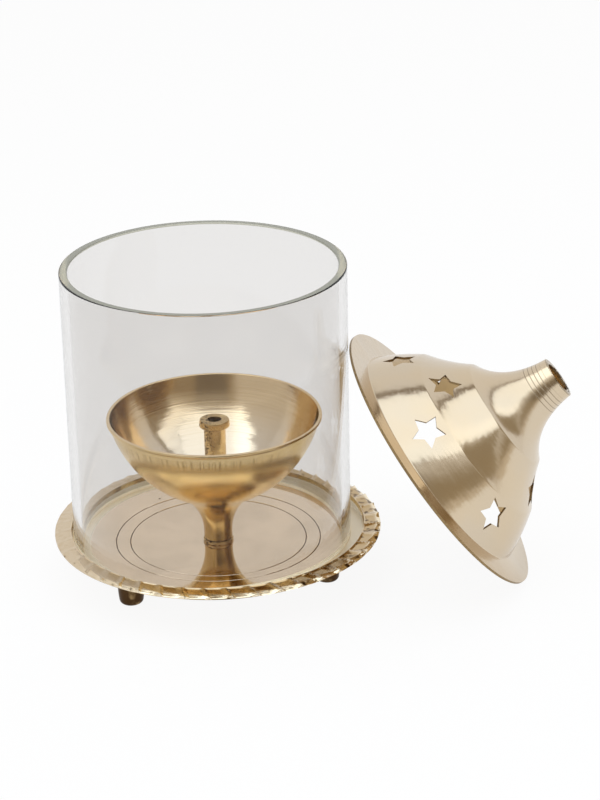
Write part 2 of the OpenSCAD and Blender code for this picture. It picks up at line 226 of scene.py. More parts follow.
class FinishColours(bpy.types.PropertyGroup):
    """Colours of the finishes."""
    spun: colour("Spun brass", "Polished outside of the lid", (0.655, 0.55, 0.415))
    spun_warm: colour("Warm spun brass", "Warmer patches of the lid", (0.675, 0.55, 0.39))
    # This lining colour also browns one side of the lid's brim as a painted dark reflection.
    lining: colour("Lid lining", "Unpolished inside of the lid", (0.52, 0.365, 0.18))
    # Painted shade: this near-black stands for the shade on the thin cut walls, and darkens the neck's rings.
    cut_edge_painted_shade: colour("Cut edge", "Edges of the cut stars", (0.12, 0.08, 0.04))
    cast: colour("Cast brass", "Polished floor of the dish", (0.92, 0.76, 0.58))
    # The seat colour is also the painted highlight on the band's outer strip and the painted reflection on
    # the glass's foot.
    seat: colour("Seat", "Matte seat of the glass and the wall round it", (0.98, 0.86, 0.65))
    # This deep brass also serves as painted shade on the cup's stem and along the top of the dish's wall.
    cast_deep_and_painted_shade: colour("Deep cast brass", "Hollows of the dish's fluted band", (0.45, 0.29, 0.10))
    tarnish: colour("Tarnish", "Dirt in grooves and pores", (0.13, 0.075, 0.028))
    turned: colour("Turned brass", "Outside of the cup", (0.96, 0.75, 0.37))
    turned_pale: colour("Pale turned brass", "Cup where the tool left it bright", (0.88, 0.70, 0.38))
    bowl: colour("Bowl", "Polished bottom of the bowl", (0.82, 0.71, 0.56))
    bowl_rim: colour("Bowl rim", "Inside of the bowl near its rim", (0.84, 0.66, 0.42))
    dull: colour("Dull brass", "Wick tube and washer", (0.60, 0.42, 0.20))
    dark: colour("Dark brass", "Feet and fasteners", (0.085, 0.047, 0.02))
    glass: colour("Glass", "Tint of the chimney's wall", (0.835, 0.825, 0.815))
    glass_rim: colour("Glass rim", "Tint of the ground rims", (0.48, 0.475, 0.38))
    floor: colour("Floor", "Table under the lamp", (0.92, 0.92, 0.93))


class StageSettings(bpy.types.PropertyGroup):
    """Table, light, surroundings and camera."""
    table_r: length("Table radius", "Radius of the round table", 1.1)
    eye: spot("Camera place", "Where the camera stands", (0.03058, -0.806, 0.3983))
    tilt: angle("Camera tilt", "How far down the camera looks", 22.492)
    roll: angle("Camera roll", "Turn of the camera about its line of sight", -1.227)
    lens: FloatProperty(name="Lens", description="Focal length of the camera", default=110.82, unit="CAMERA")
    softbox_at: spot("Softbox place", "Middle of the softbox over the lamp", (0.395, -0.435, 1.25))
    softbox_w: length("Softbox width", "Size of the softbox from left to right", 2.77)
    softbox_d: length("Softbox depth", "Size of the softbox from front to back", 1.61)
    softbox_power: FloatProperty(name="Softbox power", description="Power of the softbox", default=19.2,
                                 unit="POWER")
    softbox_tone: colour("Softbox tone", "Colour of the softbox's light", (0.9, 1.0, 1.09), 2.0)
    wall: colour("Wall", "Surroundings behind the lamp and to its left", (0.9, 0.9, 0.9))
    low: colour("Low front", "Surroundings in front, close to the table", (0.72, 0.66, 0.56))
    front: colour("Front", "Surroundings in front, higher up", (0.38, 0.31, 0.21))
    overhead: colour("Overhead", "Surroundings above", (0.16, 0.10, 0.04))
    column: colour("Column", "Dark upright strip in front", (0.22, 0.18, 0.13))
    glow: colour("Glow", "Soft front edge of the softbox", (0.75, 0.72, 0.66))


class LampSettings(bpy.types.PropertyGroup):
    """Everything about the lamp that a user may change."""
    dish: PointerProperty(type=DishSizes)
    foot: PointerProperty(type=FootSizes)
    cup: PointerProperty(type=CupSizes)
    tube: PointerProperty(type=TubeSizes)
    glass: PointerProperty(type=GlassSizes)
    lid: PointerProperty(type=LidSizes)
    colours: PointerProperty(type=FinishColours)
    stage: PointerProperty(type=StageSettings)


def overload(operation):
    """An operator between wires and numbers, and its reflected form."""
    return (lambda wire, value: wire.sheet.maths(operation, wire, value),
            lambda wire, value: wire.sheet.maths(operation, value, wire))


class Wire:
    """One socket of a shader tree, which takes part in Python arithmetic."""
    __add__, __radd__ = overload("ADD")
    __sub__, __rsub__ = overload("SUBTRACT")
    __mul__, __rmul__ = overload("MULTIPLY")
    __truediv__, __rtruediv__ = overload("DIVIDE")
    __pow__, __rpow__ = overload("POWER")

    def __init__(self, sheet, socket):
        self.sheet = sheet
        self.socket = socket

    def __neg__(self):
        return 0 - self

    def __abs__(self):
        return self.sheet.maths("ABSOLUTE", self)

    def step(self, low, high):
        """0 below low, 1 above high, and a soft step between them."""
        return self.sheet.node("ShaderNodeMapRange", {"interpolation_type": "SMOOTHSTEP"},
                               {"Value": self, "From Min": low, "From Max": high})

    def between(self, low, full, fade, high):
        """A soft step up from low to full, and one down from fade to high."""
        return self.step(low, full) * (1 - self.step(fade, high))

    def other(self, output):
        """Another output of the same node."""
        return Wire(self.sheet, self.socket.node.outputs[output])


class Sheet:
    """The node tree of one finish."""

    def __init__(self, tree):
        self.tree = tree
        tree.nodes.clear()

    def node(self, kind, settings=None, inputs=None, output=0):
        """Adds a node: its settings first, then a value or a link for each named socket.

        Returns one of its outputs, if it has any."""
        made = self.tree.nodes.new(kind)
        for name, value in (settings or {}).items():
            setattr(made, name, value)
        for name, value in (inputs or {}).items():
            socket = made.inputs[name]
            if isinstance(value, Wire):
                self.tree.links.new(value.socket, socket)
            elif socket.type == "RGBA":
                socket.default_value = (*value, 1.0)
            else:
                socket.default_value = value
        return Wire(self, made.outputs[output]) if made.outputs else None

    def maths(self, operation, first, second=0.0):
        """A Math node on wires or numbers."""
        return self.node("ShaderNodeMath", {"operation": operation}, {0: first, 1: second})

    def axes(self, vector):
        """The X, Y and Z of a vector."""
        x = self.node("ShaderNodeSeparateXYZ", None, {0: vector})
        return x, x.other("Y"), x.other("Z")

    def point(self, stand=None):
        """A point of the piece. stand is the piece's own stand if its axis isn't the lamp's."""
        point = self.node("ShaderNodeTexCoord", output="Object")
        if stand:
            point = self.node("ShaderNodeMapping", {"vector_type": "TEXTURE"}, {
                "Vector": point, "Location": stand.to_translation(), "Rotation": stand.to_euler()})
        return point

    def place(self, stand=None):
        """A point of the piece, its distance from the axis, and its height."""
        point = self.point(stand)
        x, y, z = self.axes(point)
        return point, (x * x + y * y) ** 0.5, z

    def bearing(self, point):
        """A point's bearing round the lamp's axis, in radians."""
        x, y, _ = self.axes(point)
        return self.maths("ARCTAN2", y, x)

    def noise(self, point, size, detail=2.0):
        """Noise in space whose features are about size across, in millimetres."""
        return self.node("ShaderNodeTexNoise", None, {
            "Vector": point, "Scale": 1 / (size * MM), "Detail": detail})

    def rings(self, along, pitch, detail=2.0):
        """Noise along one line only, with a pitch in millimetres. It makes rings round a turned piece."""
        return self.node("ShaderNodeTexNoise", {"noise_dimensions": "1D"}, {
            "W": along, "Scale": 1 / (pitch * MM), "Detail": detail})

    def specks(self, point, apart, low, high, bare):
        """Round specks, apart by so many millimetres. bare is the share of places without one."""
        cells = self.node("ShaderNodeTexVoronoi", None, {"Vector": point, "Scale": 1 / (apart * MM)})
        return (1 - cells.step(low, high)) * cells.other("Color").step(bare, 0.6)

    def coat(self, base, *coats):
        """A colour under coats, each a mask and its colour."""
        for mask, tone in coats:
            base = self.node("ShaderNodeMix", {"data_type": "RGBA"},
                             {MIX_SHARE: mask, MIX_FIRST: base, MIX_SECOND: tone}, MIX_RESULT)
        return base

    def bump(self, *reliefs, normal=None):
        """Reliefs over each other, each a height of 0 to 1 and what it stands for in microns."""
        for height, depth in reliefs:
            inputs = {"Height": height, "Distance": depth * MICRON, "Strength": 1.0}
            if normal:
                inputs["Normal"] = normal
            normal = self.node("ShaderNodeBump", None, inputs)
        return normal

    def flat_normal(self, slope, lift):
        """The normal where a nearly level surface is polished to another share of its slope.

        lift turns the normals of steep faces up, as on a wall that is worn round."""
        x, y, z = self.axes(self.node("ShaderNodeNewGeometry", output="Normal"))
        kept = 1 - z.step(0.9, 0.97) * (1 - slope)
        rise = z + lift * (1 - z.step(0.3, 0.6))
        way = self.node("ShaderNodeCombineXYZ", None, {"X": x * kept, "Y": y * kept, "Z": rise})
        return self.node("ShaderNodeVectorMath", {"operation": "NORMALIZE"}, {0: way})

    def brass(self, base, roughness, normal, metallic=1.0):
        """Bare metal, or a dull film on it where metallic is lower."""
        return self.node("ShaderNodeBsdfPrincipled", None, {
            "Base Color": base, "Metallic": metallic, "Roughness": roughness, "Normal": normal})


def finish(paint):
    """The material of a finish, named after the function that fills its sheet and returns its shader."""
    material = bpy.data.materials.get(paint.__name__)
    if material is None:
        material = bpy.data.materials.new(paint.__name__)
        material.use_nodes = True
        sheet = Sheet(material.node_tree)
        shader = paint(sheet, bpy.context.scene.lamp.colours)
        sheet.node("ShaderNodeOutputMaterial", None, {"Surface": shader})
    return material


def spun_brass(sheet, colours):
    """Lid: mirror polish over faint spinning rings, with the slow ripple of hand work.

    The neck's rings near its tip are darkened with painted shade, and one side of the brim is browner with a
    painted dark reflection."""
    sizes = bpy.context.scene.lamp.lid
    point, radius, z = sheet.place(lid_stand(sizes))
    _, y, _ = sheet.axes(point)
    patches = sheet.noise(point, 22)
    ripple = sheet.noise(point, 11, 2.5)
    rings = sheet.rings(z - radius, 0.9, 3.0)
    waves = sheet.rings(z - radius + patches * (3 * MM), 3.2, 1.0)
    top = sizes.sheet + sizes.tier_1_h + sizes.tier_2_h + sizes.neck_h
    neck = z.step(top - sizes.neck_h, top - sizes.neck_h * 0.7)
    near_tip = z.between(top - 10 * MM, top - 8.5 * MM, top - 3 * MM, top - 2 * MM)
    # Painted shade: the rings near the neck's tip are darkened, as shade in their grooves.
    lines = abs(sheet.maths("FRACT", z / (1.5 * MM)) - 0.5).step(0.38, 0.46) * near_tip
    crease = sizes.brim_r - sizes.brim_w
    # Painted dark reflection: the brim is browned on one side.
    brim_painted_dark_reflection = radius.step(crease, crease + 0.5 * MM) * (-y).step(10 * MM, 45 * MM)
    base = sheet.coat(colours.spun, (patches.step(0.35, 0.7), colours.spun_warm),
                      (lines * 0.55, colours.cut_edge_painted_shade), (brim_painted_dark_reflection * 0.9, colours.lining))
    normal = sheet.bump((ripple, 210), (waves, 40), (rings, 2.2), (1 - lines, 40))
    return sheet.brass(base, 0.115 + rings * 0.08 + neck * 0.07, normal)


def lid_lining(sheet, colours):
    """Inside of the lid: browner, and only roughly polished."""
    point, radius, z = sheet.place(lid_stand(bpy.context.scene.lamp.lid))
    rings = sheet.rings(z - radius, 0.8, 3.0)
    stain = sheet.noise(point, 9, 4.0)
    base = sheet.coat(colours.lining, (stain.step(0.4, 0.75), colours.dull))
    return sheet.brass(base, 0.24 + rings * 0.16, sheet.bump((rings, 8)))


def cut_edge_painted_shade(sheet, colours):
    """Sawn edge of the lid's sheet, dark with painted shade, with polish left in its file marks."""
    marks = sheet.noise(sheet.point(), 0.6, 3.0)
    base = sheet.coat(colours.cut_edge_painted_shade, (marks, colours.lining))
    return sheet.brass(base, 0.3 + marks * 0.2, sheet.bump((marks, 40)))


def cast_floor(sheet, colours):
    """Dish: polished cast brass with dirt in its engraved rings and pores, and fine wiping scratches.

    The seat of the glass and the wall round it are matte, and the wall's top is a line of bare metal darkened
    with painted shade."""
    sizes = bpy.context.scene.lamp.dish
    point, radius, z = sheet.place()
    groove = 0
    for ring in (sizes.ring_1, sizes.ring_2):
        groove = groove + (1 - abs(radius - ring).step(sizes.ring_w * 0.15, sizes.ring_w * 0.45))
    pores = sheet.specks(point, 7, 0.04, 0.07, 0.55)
    smear = sheet.noise(point, 16, 3.0)
    scratch = sheet.noise(point, 1.1, 3.0)
    dirt = (groove + pores).step(0.0, 1.0)
    matte = radius.step(sizes.seat_r - 2.2 * MM, sizes.seat_r - 1.2 * MM)
    # Painted shade: a dark line of bare metal along the top of the wall.
    bare = z.step(DISH_HIGH.z - 1.9 * MM, DISH_HIGH.z - 1.5 * MM)
    film = matte * (1 - bare)
    base = sheet.coat(colours.cast, (smear.step(0.3, 0.75) * 0.4, colours.spun),
                      (dirt, colours.tarnish), (matte, colours.seat), (bare, colours.cast_deep_and_painted_shade))
    normal = sheet.bump((smear, 8), (1 - pores, 60), normal=sheet.flat_normal(0.5, matte * 0.7))
    return sheet.brass(base, 0.04 + scratch * 0.04 + dirt * 0.35 + film * 0.2, normal, 1 - film * 0.75)


def cast_band(sheet, colours):
    """Fluted band: a painted highlight along its outer strip except on the left, and brown where polish has
    stayed in the hollows.
    """
    sizes = bpy.context.scene.lamp.dish
    point, radius, z = sheet.place()
    x, _, _ = sheet.axes(point)
    out = (radius - sizes.band_r) / (DISH_HIGH.x - sizes.band_r)
    low = DISH_HIGH.z - out * sizes.fall - z
    marks = sheet.noise(point, 1.4, 3.0)
    stain = sheet.noise(point, 3.5)
    # Painted highlight: the band's outer strip is pale, except on the left.
    painted_highlight = out.step(0.62, 0.9) * x.step(-52 * MM, -22 * MM)
    hollows = low.step(0.08 * MM, 0.26 * MM) * (1 - out.step(0.55, 0.8))
    patches = stain.step(0.45, 0.7) * (0.2 + x.step(-40 * MM, 10 * MM) * 0.3)
    dirtier = x.step(0.0, 55 * MM) * 0.12
    dirt = low.step(0.1 * MM, 0.5 * MM) * (stain + dirtier).step(0.64, 0.76)
    turn = sheet.bearing(point) * (sizes.flutes / (2 * math.pi)) + 0.5 - out * sizes.slant
    line = abs(sheet.maths("FRACT", turn) - 0.5) + (stain - 0.5) * 0.06
    crisp = 0.15 + x.step(-45 * MM, 0.0) * 0.85
    line = line.step(0.46, 0.485) * crisp * 0.4
    base = sheet.coat(colours.spun_warm, (painted_highlight, colours.seat),
                      (sheet.maths("MAXIMUM", hollows * 0.6, patches), colours.cast_deep_and_painted_shade),
                      (sheet.maths("MAXIMUM", dirt, line), colours.tarnish))
    return sheet.brass(base, 0.06 + marks * 0.1, sheet.bump((marks, 8)))


def cast_under(sheet, colours):
    """Underside of the dish: left as it came from the sand."""
    grit = sheet.noise(sheet.point(), 0.9, 5.0)
    stain = sheet.noise(sheet.point(), 14, 3.0)
    base = sheet.coat(colours.dull, (stain.step(0.35, 0.7), colours.dark))
    return sheet.brass(base, 0.42 + grit * 0.2, sheet.bump((grit, 90)))


def turned_brass(sheet, colours):
    """Cup: fine turning rings, and the tool's chatter marks under the lip and round the stem's foot."""
    sizes = bpy.context.scene.lamp.cup
    rim, foot = sizes.rim, CUP_LOW.z
    point = sheet.point()
    _, _, z = sheet.axes(point)
    turn = sheet.bearing(point)
    fine = sheet.rings(z, 0.5, 3.0)
    broad = sheet.rings(z, 2.6)
    patches = sheet.noise(point, 15)
    under_lip = z.between(rim - 7 * MM, rim - 5 * MM, rim - 3.4 * MM, rim - 2.6 * MM)
    chatter = sheet.rings(turn * sizes.bowl_r, 1.0).step(0.5, 0.62)
    scratch = sheet.rings(turn * sizes.stem_r, 0.45).step(0.48, 0.66)
    ticks = chatter * under_lip * patches.step(0.34, 0.48) * 0.55
    ticks = ticks + scratch * (1 - z.step(foot + 6 * MM, foot + 8 * MM)) * 0.8
    upper = z.step(rim - 11 * MM, rim - 7 * MM)
    # Painted shade: the stem and the foot of the bowl are darkened, as in the shade under the bowl.
    stem = 1 - z.step(foot + 9 * MM, foot + 17 * MM)
    base = sheet.coat(colours.turned, (patches.step(0.35, 0.7), colours.turned_pale),
                      (upper * 0.45, colours.dull), (stem * 0.7, colours.cast_deep_and_painted_shade),
                      (ticks, colours.cast_deep_and_painted_shade))
    return sheet.brass(base, 0.17 + fine * 0.12, sheet.bump((broad, 10), (fine, 4), (ticks, 14)))


def polished_bowl(sheet, colours):
    """Inside of the cup: mirror polish over the turning rings, with a few nicks."""
    rim = bpy.context.scene.lamp.cup.rim
    point, radius, z = sheet.place()
    fine = sheet.rings(z + radius, 0.7, 1.0)
    broad = sheet.rings(z + radius, 4.5, 1.0)
    wobble = sheet.noise(point, 9, 1.5)
    nicks = sheet.specks(point, 6, 0.025, 0.05, 0.5)
    upper = z.step(rim - 22 * MM, rim - 6 * MM)
    lines = fine.step(0.5, 0.62) * (0.08 + upper * 0.2)
    base = sheet.coat(colours.bowl, (upper, colours.bowl_rim), (lines, colours.dull),
                      (nicks, colours.tarnish))
    return sheet.brass(base, 0.1 + fine * 0.08, sheet.bump((wobble, 150), (broad, 45), (fine, 18)))


def dull_brass(sheet, colours):
    """Wick tube and washer: brown-gold, pitted down one side."""
    point = sheet.point()
    x, _, _ = sheet.axes(point)
    pits = sheet.noise(point, 0.8, 4.0)
    stain = sheet.noise(point, 4)
    holes = pits.step(0.48, 0.6) * (1 - x.step(-2.2 * MM, 0.2 * MM))
    base = sheet.coat(colours.dull, (stain.step(0.5, 0.85), colours.turned), (holes, colours.tarnish))
    return sheet.brass(base, 0.2 + pits * 0.2, sheet.bump((1 - holes, 160)))


def dark_brass(sheet, colours):
    """Feet and fasteners: dark with age, worn bright in places."""
    rub = sheet.noise(sheet.point(), 5, 3.0)
    grit = sheet.noise(sheet.point(), 0.7, 3.0)
    base = sheet.coat(colours.dark, (rub.step(0.5, 0.8), colours.dull))
    return sheet.brass(base, 0.22 + grit * 0.2, sheet.bump((grit, 30)))


def clear_glass(sheet, colours):
    """Wall of the chimney: clear, and light passes to what stands inside."""
    glass = sheet.node("ShaderNodeBsdfPrincipled", None, {
        "Base Color": colours.glass, "Roughness": 0.0, "IOR": GLASS_IOR, "Specular Tint": (0.3, 0.3, 0.3),
        "Transmission Weight": 1.0})
    shade = sheet.node("ShaderNodeBsdfTransparent", None, {"Color": (0.97, 0.97, 0.965)})
    shadow_ray = sheet.node("ShaderNodeLightPath", output="Is Shadow Ray")
    return sheet.node("ShaderNodeMixShader", None, {0: shadow_ray, 1: glass, 2: shade})


def ground_glass(sheet, colours):
    """Rims of the chimney: ground, a little cloudy and green."""
    marks = sheet.noise(sheet.point(), 1.5, 3.0)
    return sheet.node("ShaderNodeBsdfPrincipled", None, {
        "Base Color": colours.glass_rim, "Roughness": 0.12 + marks * 0.2, "IOR": GLASS_IOR,
        "Transmission Weight": 0.5, "Normal": sheet.bump((marks, 30))})


def cloudy_glass_painted_glow(sheet, colours):
    """Foot of the chimney: ground, with a painted reflection of the pale brass that it stands on and a faint
    painted glow.
    """
    marks = sheet.noise(sheet.point(), 1.5, 3.0)
    # Painted reflection: the foot takes the pale colour of the brass seat under it.
    base = sheet.coat(colours.seat, (marks * 0.5, colours.glass_rim))
    # Painted glow: the foot gives off light in its own colour, though it is no lamp.
    return sheet.node("ShaderNodeBsdfPrincipled", None, {
        "Base Color": base, "Roughness": 0.5, "Emission Color": base, "Emission Strength": 0.25})


def pale_table(sheet, colours):
    """Table: nearly white to the eye and half white to the brass, and it keeps the lamp's shadow."""
    diffuse = sheet.node("ShaderNodeBsdfDiffuse", None, {"Color": colours.floor})
    glow = sheet.node("ShaderNodeEmission", None, {"Color": WHITE, "Strength": 1.0})
    path = sheet.node("ShaderNodeLightPath", output="Is Camera Ray")
    seen = sheet.maths("MAXIMUM", path, path.other("Is Transmission Ray"))
    white = sheet.maths("MAXIMUM", seen * 0.92, path.other("Is Glossy Ray") * 0.5)
    return sheet.node("ShaderNodeMixShader", None, {0: white, 1: diffuse, 2: glow})


def arc(centre, radius, start, stop, steps=28):
    """Points of an arc from one bearing to another, in radians."""
    turns = [start + (stop - start) * i / steps for i in range(steps + 1)]
    return [centre + radius * Vector((math.cos(a), math.sin(a))) for a in turns]


def curve(start, bend, stop, steps):
    """Points of a curve that leaves start and reaches stop along lines through bend."""
    shares = [i / steps for i in range(steps + 1)]
    return [(1 - t) ** 2 * start + 2 * t * (1 - t) * bend + t ** 2 * stop for t in shares]


def bow(start, stop, swell, bend=0.5, steps=30):
    """Points of a curve that swells to the right of its chord, strongest at bend."""
    run = (stop - start).normalized()
    return curve(start, start.lerp(stop, bend) + 2 * swell * Vector((run.y, -run.x)), stop, steps)


def points(*pairs):
    """A line through (radius, height) pairs."""
    return [Vector(pair) for pair in pairs]


def corners(slot, *pairs):
    """Straight stretches of one slot from corner to corner, for joined()."""
    line = points(*pairs)
    return [(list(ends), slot) for ends in zip(line, line[1:])]


def joined(stretches, reach, steps=6):
    """One line through (points, slot) stretches, with a small curve at each corner.

    A point just off each curve keeps the shading of a long straight part beyond it flat.
    Returns the line's points and the slot of each step along it."""
    line, last = list(stretches[0][0]), stretches[0][1]
    slots = [last] * (len(line) - 1)
    for stretch, slot in stretches[1:]:
        corner = stretch[0]
        rest = list(stretch[1:])
        while len(line) > 1 and (line[-1] - corner).length < reach:
            line.pop()
            slots.pop()
        while len(rest) > 1 and (rest[0] - corner).length < reach:
            rest.pop(0)
        before, after = line[-1] - corner, rest[0] - corner
        start = corner + before * min(reach / before.length, 0.5)
        stop = corner + after * min(reach / after.length, 0.5)
        near, far = [[corner + way * (GUARD * reach / way.length)] if way.length > 2 * GUARD * reach else []
                     for way in (before, after)]
        line += near + curve(start, corner, stop, steps) + far + rest
        slots += [last] * (len(near) + 1) + [slot] * (steps + len(far) + len(rest))
        last = slot
    return line, slots


def mesh_of(name, bm):
    """The mesh of a bmesh, which ends with this."""
    mesh = bpy.data.meshes.new(name)
    bm.to_mesh(mesh)
    bm.free()
    return mesh


def read(items, field, width=1, kind=float):
    """One field of a mesh's items, as an array with a place or a row for each."""
    values = np.empty(len(items) * width, kind)
    items.foreach_get(field, values)
    return values.reshape(-1, width) if width > 1 else values


def lathe(name, line, slots, columns, closed=False):
    """A turned mesh. line holds (radius, height) points, and slots a finish for each step along it."""
    bm = bmesh.new()
    turns = [2 * math.pi * i / columns for i in range(columns)]
    rings = []
    for p in line:
        if p.x < TINY:
            rings.append([bm.verts.new((0, 0, p.y))])
        else:
            rings.append([bm.verts.new((p.x * math.cos(a), p.x * math.sin(a), p.y)) for a in turns])
    pairs = list(zip(rings, rings[1:] + rings[:1] if closed else rings[1:]))
    for (low, high), slot in zip(pairs, slots):
        for i in range(columns):
            j = (i + 1) % columns
            around = (low[i % len(low)], low[j % len(low)], high[j % len(high)], high[i % len(high)])
            bm.faces.new(list(dict.fromkeys(around))).material_index = slot
    bmesh.ops.recalc_face_normals(bm, faces=bm.faces)
    return mesh_of(name, bm)


def smooth(mesh, sharp=32):
    """Smooth shading, broken at corners of more than sharp degrees."""
    mesh.shade_smooth()
    mesh.set_sharp_from_angle(angle=math.radians(sharp))


def placed(name, data):
    """A new object in the scene."""
    made = bpy.data.objects.new(name, data)
    bpy.context.scene.collection.objects.link(made)
    return made


def piece(name, mesh, paints, body, nodes):
    """Adds a mesh to the lamp with its finishes. It rides on a body and stands for CAD nodes."""
    for paint in paints:
        mesh.materials.append(finish(paint))
    made = placed(name, mesh)
    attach(made, body)
    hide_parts(*nodes)
    return made


def post(bm, radius, depth, place, segments):
    """Adds a plain round post to a bmesh."""
    bmesh.ops.create_cone(bm, cap_ends=True, segments=segments, radius1=radius, radius2=radius, depth=depth,
                          matrix=place)


def carve(made, bm, slot, operation="DIFFERENCE"):
    """Takes the solids of a bmesh away from a piece, or adds them. Their walls take the given slot."""
    for face in bm.faces:
        face.material_index = slot
    bmesh.ops.recalc_face_normals(bm, faces=bm.faces)
    whole, mesh = made.data, mesh_of("cutter", bm)
    for material in whole.materials:
        mesh.materials.append(material)
    tool = placed("cutter", mesh)
    modifier = made.modifiers.new("carve", "BOOLEAN")
    modifier.operation = operation
    modifier.solver = "EXACT"
    modifier.object = tool
    bpy.context.view_layer.update()
    made.data = bpy.data.meshes.new_from_object(made.evaluated_get(bpy.context.evaluated_depsgraph_get()))
    made.modifiers.clear()
    made.data.name = whole.name
    bpy.data.meshes.remove(whole)
    bpy.data.objects.remove(tool)


def dress(nodes, material):
    """Gives CAD nodes a finish."""
    for node in nodes:
        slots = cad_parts[node].data.materials
        slots.clear()
        slots.append(material)


def flute(mesh, sizes):
    """Presses the flutes into the top of the dish's band, each one a little different, as filed by hand.

    A flute rises outwards to a slanted line and falls from there to the band's edge."""
    co = read(mesh.vertices, "co", 3)
    radius = np.hypot(co[:, 0], co[:, 1])
    bearing = np.arctan2(co[:, 1], co[:, 0])
    out = np.clip((radius - sizes.band_r) / (DISH_HIGH.x - sizes.band_r), 0, 1)
    under_top = (DISH_HIGH.z - sizes.fall * out - co[:, 2]) / sizes.band_t
    give = np.where(out > 0, np.clip(1 - under_top, 0, 1), 0)
    pitch = bearing / (2 * math.pi) * sizes.flutes + 0.5 - sizes.slant * out
    number = np.floor(pitch)
    chance = np.modf(np.abs(np.sin(number * SCATTER[0]) * SCATTER[1]))[0]  # fixed for each flute, from 0 to 1
    along = (pitch - number) ** (0.75 + 0.6 * chance)
    wear = 0.5 - 0.5 * np.cos(bearing - sizes.worn_turn)
    deep = sizes.flute_depth * (sizes.worn_depth + (1 - sizes.worn_depth) * wear) * (0.75 + 0.25 * chance)
    fall = sizes.facet * (sizes.worn_facet + (1 - sizes.worn_facet) * np.sqrt(wear))
    scoop = np.clip(along / sizes.flank_1, 0, 1) * np.clip((1 - along) / sizes.flank_2, 0, 1)
    bend = sizes.bend + 0.3 * (along - 0.5) + 0.1 * (chance - 0.5)
    inner = deep * np.clip(out / 0.1, 0, 1) * (1 - 0.6 * np.minimum(out / bend, 1))
    outer = fall * np.clip((out - bend) / (1 - bend), 0, 1)
    co[:, 2] -= give * np.minimum(scoop * (inner + outer), sizes.band_t * 0.8)
    bite = np.where(out > 0.8, give * sizes.scallop * scoop * wear, 0)
    co[:, :2] *= (1 - bite / np.maximum(radius, TINY))[:, None]
    mesh.vertices.foreach_set("co", co.ravel())
    mesh.update()


def hollow(sizes, radius):
    """Height of the dish's floor at a radius: a flat middle, a shallow hollow and a flat seat."""
    out = min(max(radius - sizes.hub_r, 0) / (sizes.seat_r - sizes.hub_r), 1)
    return sizes.floor + sizes.rise * out ** 2


class LAMP_OT_dish(bpy.types.Operator):
    """Builds the dish: a hollow mirror floor with engraved rings, and a fluted band"""
    bl_idname = "lamp.dish"
    bl_label = "Dish"

    def execute(self, context):
        d = context.scene.lamp.dish
        rim, edge_r = DISH_HIGH.z, DISH_HIGH.x
        edge, seat = rim - d.fall, hollow(d, d.seat_r)
        spots = [d.hub_r + (d.seat_r - d.hub_r) * i / FLOOR_STEPS for i in range(FLOOR_STEPS + 1)]
        under = [Vector((r, hollow(d, r) - d.sheet)) for r in [d.bolt_r] + spots]
        drop = {ring: d.ring_depth for ring in (d.ring_1, d.ring_2)}
        for ring in drop:
            spots = [r for r in spots if abs(r - ring) > d.ring_w]
            spots += [ring - d.ring_w / 2, ring, ring + d.ring_w / 2]
        floor = [Vector((r, hollow(d, r) - drop.get(r, 0))) for r in [d.bolt_r] + sorted(spots)]
        start, stop = points((d.band_r, rim), (edge_r - d.edge_round, edge))
        band = [start.lerp(stop, i / BAND_STEPS) for i in range(BAND_STEPS + 1)]
        round_over = curve(stop, Vector((edge_r, edge)), Vector((edge_r, edge - d.edge_drop)), 6)
        line, slots = joined([
            (floor, 0),
            *corners(0, (d.seat_r, seat), (d.wall_r, seat), (d.band_r, rim)),
            (band + round_over[1:], 1),
            *corners(1, (edge_r, edge - d.edge_drop), (edge_r, edge - d.band_t)),
            *corners(2, (edge_r, edge - d.band_t), (d.band_r + d.sheet, rim - d.band_t),
                     (d.wall_r + d.sheet, seat), (d.wall_r, seat - d.sheet), (d.seat_r, seat - d.sheet)),
            (under[::-1], 2),
        ], d.corner, steps=10)
        mesh = lathe("dish", line, slots + [2], d.flutes * FLUTE_COLUMNS, closed=True)
        flute(mesh, d)
        paints = cast_floor, cast_band, cast_under
        made = piece("dish", mesh, paints, "base", ["base_plate"])
        bm = bmesh.new()
        for node in FEET:
            low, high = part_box(node)
            x, y = (low.x + high.x) / 2, (low.y + high.y) / 2
            out = math.hypot(x, y)
            top = (hollow(d, out - d.pad_r) + hollow(d, out + d.pad_r) - d.sheet) / 2
            place = Matrix.Translation((x, y, (top + high.z) / 2))
            post(bm, d.pad_r, top - high.z, place, segments=64)
        carve(made, bm, 2, "UNION")
        smooth(made.data, sharp=12)
        return {"FINISHED"}


class LAMP_OT_feet(bpy.types.Operator):
    """Builds the turned feet under the dish"""
    bl_idname = "lamp.feet"
    bl_label = "Feet"

    def execute(self, context):
        f = context.scene.lamp.foot
        high = FOOT_HIGH.z
        swell = (FOOT_HIGH.x - FOOT_LOW.x) / 2 - f.top_r
        round_c = Vector((f.top_r - f.bottom_round, f.bottom_round))
        side = bow(Vector((f.top_r, f.bottom_round)), Vector((f.top_r, high)), swell, steps=16)
        line, slots = joined([
            *corners(0, (0, 0), (round_c.x, 0)),
            (arc(round_c, f.bottom_round, -math.pi / 2, 0, steps=10) + side[1:], 0),
            *corners(0, (f.top_r, high), (0, high)),
        ], f.corner)
        for node in FEET:
            low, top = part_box(node)
            mesh = lathe(node + "_turned", line, slots, columns=48)
            mesh.transform(Matrix.Translation(((low.x + top.x) / 2, (low.y + top.y) / 2, 0)))
            smooth(mesh)
            piece(node + "_turned", mesh, [dark_brass], "base", [node])
        return {"FINISHED"}


